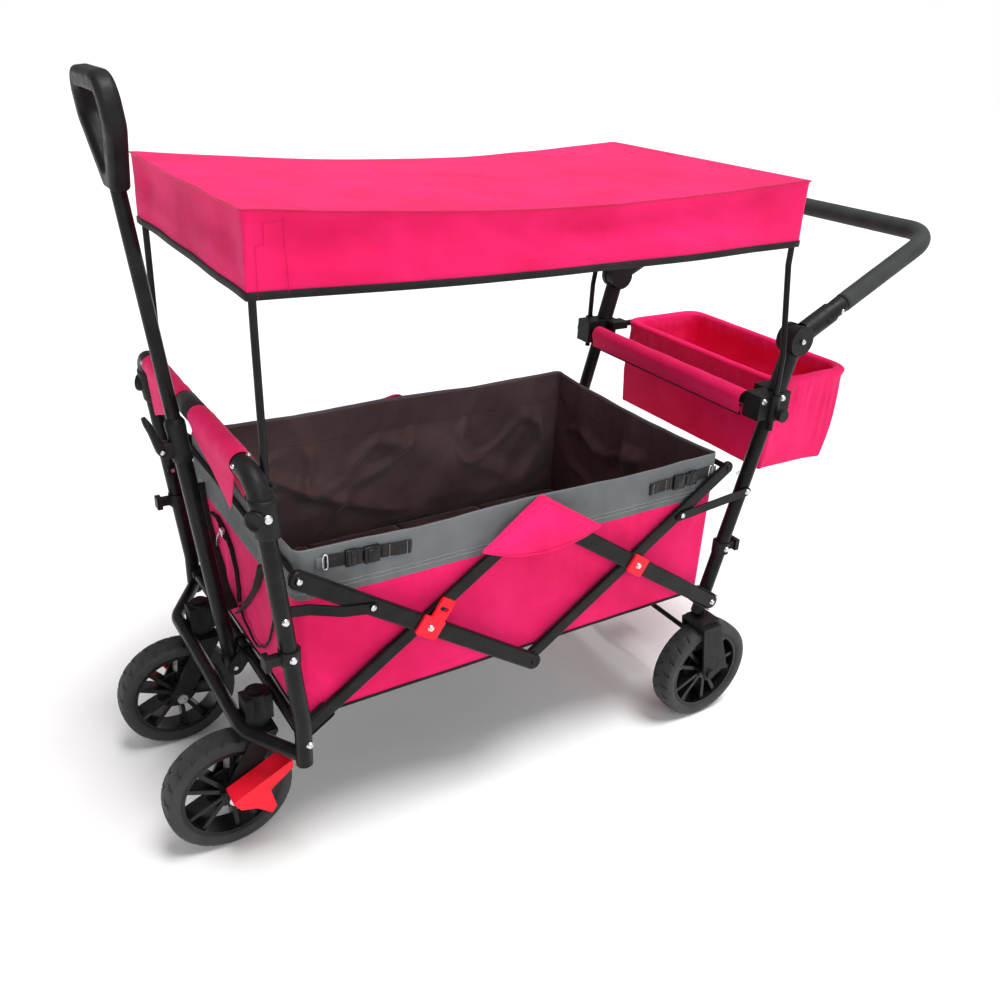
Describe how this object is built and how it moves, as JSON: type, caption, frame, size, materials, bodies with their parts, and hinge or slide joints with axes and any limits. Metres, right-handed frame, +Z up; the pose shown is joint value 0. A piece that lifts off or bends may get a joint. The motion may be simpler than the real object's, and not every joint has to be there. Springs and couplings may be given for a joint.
{
  "type": "folding pull wagon",
  "caption": "Folding four-wheel pull wagon with fabric bed, scissor side frames, canopy on poles, telescoping pull handle, push handle and rear basket.",
  "frame": {"origin": "on the ground, midway along and across the wagon", "axes": "+X toward the pushing end, -X toward the pull handle, +Y to the left side, +Z up"},
  "size_m": [1.4296, 0.584, 1.1223],
  "materials": {
    "black_steel": "satin powder coat",
    "black_plastic": "matte",
    "red_plastic": "gloss",
    "pink_fabric": "woven polyester",
    "brown_fabric": "woven polyester",
    "tyre_rubber": "matte",
    "foam": "soft foam",
    "rivet_steel": "bright",
    "webbing": "webbing"
  },
  "bodies": {
    "front_frame": {"front_legs": "black_steel", "front_hoop": "black_steel", "front_cross_tube": "black_steel", "caster_housings": "black_plastic", "front_top_bar": "black_steel", "front_knuckles": "black_plastic", "front_bar_sleeves": "pink_fabric", "top_bar_strap": "webbing", "handle_bracket": "black_steel", "front_clips": "black_plastic", "front_rivets": "rivet_steel"},
    "pull_handle": {"pull_tube_lower": "black_steel", "pull_collar": "black_plastic"},
    "pull_extension": {"pull_tube_upper": "black_steel", "pull_grip": "black_plastic"},
    "collar_lever": {"collar_lever": "black_plastic"},
    "lower_front_bars": {"lower_front_bars": "black_steel"},
    "upper_front_bars": {"upper_front_bars": "black_steel", "upper_front_rods": "black_steel", "lock_plates": "red_plastic"},
    "upper_rear_bars": {"upper_rear_bars": "black_steel"},
    "lower_rear_bars": {"lower_rear_bars": "black_steel", "crossing_plates": "red_plastic"},
    "front_links": {"front_links": "black_steel"},
    "rear_links": {"rear_links": "black_steel"},
    "rear_frame": {"rear_legs": "black_steel", "rear_cross_tube": "black_steel", "rear_crossbar": "black_steel", "crossbar_sleeve": "pink_fabric", "rear_clamps": "black_plastic", "basket_frame": "black_steel", "basket": "pink_fabric", "rear_clips": "black_plastic", "rear_rivets": "rivet_steel", "rear_forks": "black_plastic", "pole_knobs": "black_plastic"},
    "foot_brake": {"foot_brake_shaft": "black_steel", "foot_brake_shoes": "red_plastic"},
    "push_handle": {"push_handle_tube": "black_steel", "push_grip": "foam", "push_hinge_covers": "black_plastic"},
    "canopy_front": {"canopy_front_hoop": "black_steel", "canopy": "pink_fabric"},
    "canopy_rear": {"canopy_rear_hoop": "black_steel"},
    "bed": {"bed": "pink_fabric", "floor_mat": "brown_fabric"},
    "right_caster": {"right_caster_fork": "black_plastic", "right_caster_axle": "rivet_steel"},
    "right_caster_wheel": {"right_caster_tyre": "tyre_rubber", "right_caster_rim": "black_plastic"},
    "right_caster_brake": {"right_caster_brake": "red_plastic"},
    "right_rear_wheel": {"right_rear_tyre": "tyre_rubber", "right_rear_rim": "black_plastic"},
    "left_caster": {"left_caster_fork": "black_plastic", "left_caster_axle": "rivet_steel"},
    "left_caster_wheel": {"left_caster_tyre": "tyre_rubber", "left_caster_rim": "black_plastic"},
    "left_caster_brake": {"left_caster_brake": "red_plastic"},
    "left_rear_wheel": {"left_rear_tyre": "tyre_rubber", "left_rear_rim": "black_plastic"}
  },
  "joints": [
    {"name": "frame_fold", "type": "hinge", "parent": "front_frame", "child": "lower_front_bars", "pos_m": [-0.52982, 0, 0.252], "axis": [0, -1, 0], "range_deg": [0, 46.1], "deforming": ["bed", "floor_mat", "canopy"]},
    {"name": "front_crossing", "type": "hinge", "parent": "lower_front_bars", "child": "upper_front_bars", "pos_m": [-0.33182, 0, 0.38505], "axis": [0, -1, 0], "range_deg": [-92.21, 0]},
    {"name": "centre_joint", "type": "hinge", "parent": "upper_front_bars", "child": "upper_rear_bars", "pos_m": [-0.13381, 0, 0.252], "axis": [0, -1, 0], "range_deg": [0, 92.21]},
    {"name": "rear_crossing", "type": "hinge", "parent": "upper_rear_bars", "child": "lower_rear_bars", "pos_m": [0.06419, 0, 0.38505], "axis": [0, -1, 0], "range_deg": [-92.21, 0]},
    {"name": "rear_low_pivot", "type": "hinge", "parent": "lower_rear_bars", "child": "rear_frame", "pos_m": [0.26219, 0, 0.252], "axis": [0, -1, 0], "range_deg": [0, 46.11]},
    {"name": "front_link_pivot", "type": "hinge", "parent": "front_frame", "child": "front_links", "pos_m": [-0.55518, 0, 0.4685], "axis": [0, -1, 0], "range_deg": [0, 78.86]},
    {"name": "rear_link_pivot", "type": "hinge", "parent": "rear_frame", "child": "rear_links", "pos_m": [0.31518, 0, 0.463], "axis": [0, 1, 0], "range_deg": [0, 66.6]},
    {"name": "bed_rise", "type": "slide", "parent": "front_frame", "child": "bed", "axis": [0, 0, 1], "range_m": [0, 0.20385]},
    {"name": "canopy_lift", "type": "slide", "parent": "front_frame", "child": "canopy_front", "axis": [0, 0, 1], "range_m": [0, 0.04]},
    {"name": "canopy_rear_lift", "type": "slide", "parent": "rear_frame", "child": "canopy_rear", "axis": [0, 0, 1], "range_m": [0, 0.04]},
    {"name": "pull_handle_swing", "type": "hinge", "parent": "front_frame", "child": "pull_handle", "pos_m": [-0.55182, 0, 0.224], "axis": [0, -1, 0], "range_deg": [0, 44]},
    {"name": "pull_handle_slide", "type": "slide", "parent": "pull_handle", "child": "pull_extension", "axis": [-0.1184, 0, 0.993], "range_m": [-0.28, 0]},
    {"name": "collar_lever_pivot", "type": "hinge", "parent": "pull_handle", "child": "collar_lever", "pos_m": [-0.62664, 0, 0.6192], "axis": [0, -1, 0], "range_deg": [0, 35]},
    {"name": "push_handle_tilt", "type": "hinge", "parent": "rear_frame", "child": "push_handle", "pos_m": [0.38275, 0, 0.732], "axis": [0, -1, 0], "range_deg": [-55, 40]},
    {"name": "foot_brake_pedal", "type": "hinge", "parent": "rear_frame", "child": "foot_brake", "pos_m": [0.29418, 0, 0.134], "axis": [0, 1, 0], "range_deg": [0, 15]},
    {"name": "right_caster_swivel", "type": "hinge", "parent": "front_frame", "child": "right_caster", "pos_m": [-0.55981, -0.141, 0.1], "axis": [0, 0, 1], "continuous": true},
    {"name": "right_caster_spin", "type": "hinge", "parent": "right_caster", "child": "right_caster_wheel", "pos_m": [-0.61482, -0.141, 0.1], "axis": [0, 1, 0], "continuous": true},
    {"name": "right_caster_brake_pivot", "type": "hinge", "parent": "right_caster", "child": "right_caster_brake", "pos_m": [-0.57081, -0.141, 0.142], "axis": [0, -1, 0], "range_deg": [0, 12]},
    {"name": "right_rear_spin", "type": "hinge", "parent": "rear_frame", "child": "right_rear_wheel", "pos_m": [0.26919, -0.256, 0.1], "axis": [0, 1, 0], "continuous": true},
    {"name": "left_caster_swivel", "type": "hinge", "parent": "front_frame", "child": "left_caster", "pos_m": [-0.55981, 0.141, 0.1], "axis": [0, 0, 1], "continuous": true},
    {"name": "left_caster_spin", "type": "hinge", "parent": "left_caster", "child": "left_caster_wheel", "pos_m": [-0.61482, 0.141, 0.1], "axis": [0, 1, 0], "continuous": true},
    {"name": "left_caster_brake_pivot", "type": "hinge", "parent": "left_caster", "child": "left_caster_brake", "pos_m": [-0.57081, 0.141, 0.142], "axis": [0, -1, 0], "range_deg": [0, 12]},
    {"name": "left_rear_spin", "type": "hinge", "parent": "rear_frame", "child": "left_rear_wheel", "pos_m": [0.26919, 0.256, 0.1], "axis": [0, 1, 0], "continuous": true}
  ],
  "couplings": [
    {"joint": "front_crossing", "follows": "frame_fold", "ratio": -2},
    {"joint": "centre_joint", "follows": "frame_fold", "ratio": 2},
    {"joint": "rear_crossing", "follows": "frame_fold", "ratio": -2},
    {"joint": "rear_low_pivot", "follows": "frame_fold", "ratio": 1},
    {"joint": "front_link_pivot", "follows": "frame_fold", "ratio": 1.7102},
    {"joint": "rear_link_pivot", "follows": "frame_fold", "ratio": 1.4443},
    {"joint": "bed_rise", "follows": "frame_fold", "m_per_rad": 0.25324},
    {"joint": "canopy_rear_lift", "follows": "canopy_lift", "ratio": 1}
  ]
}
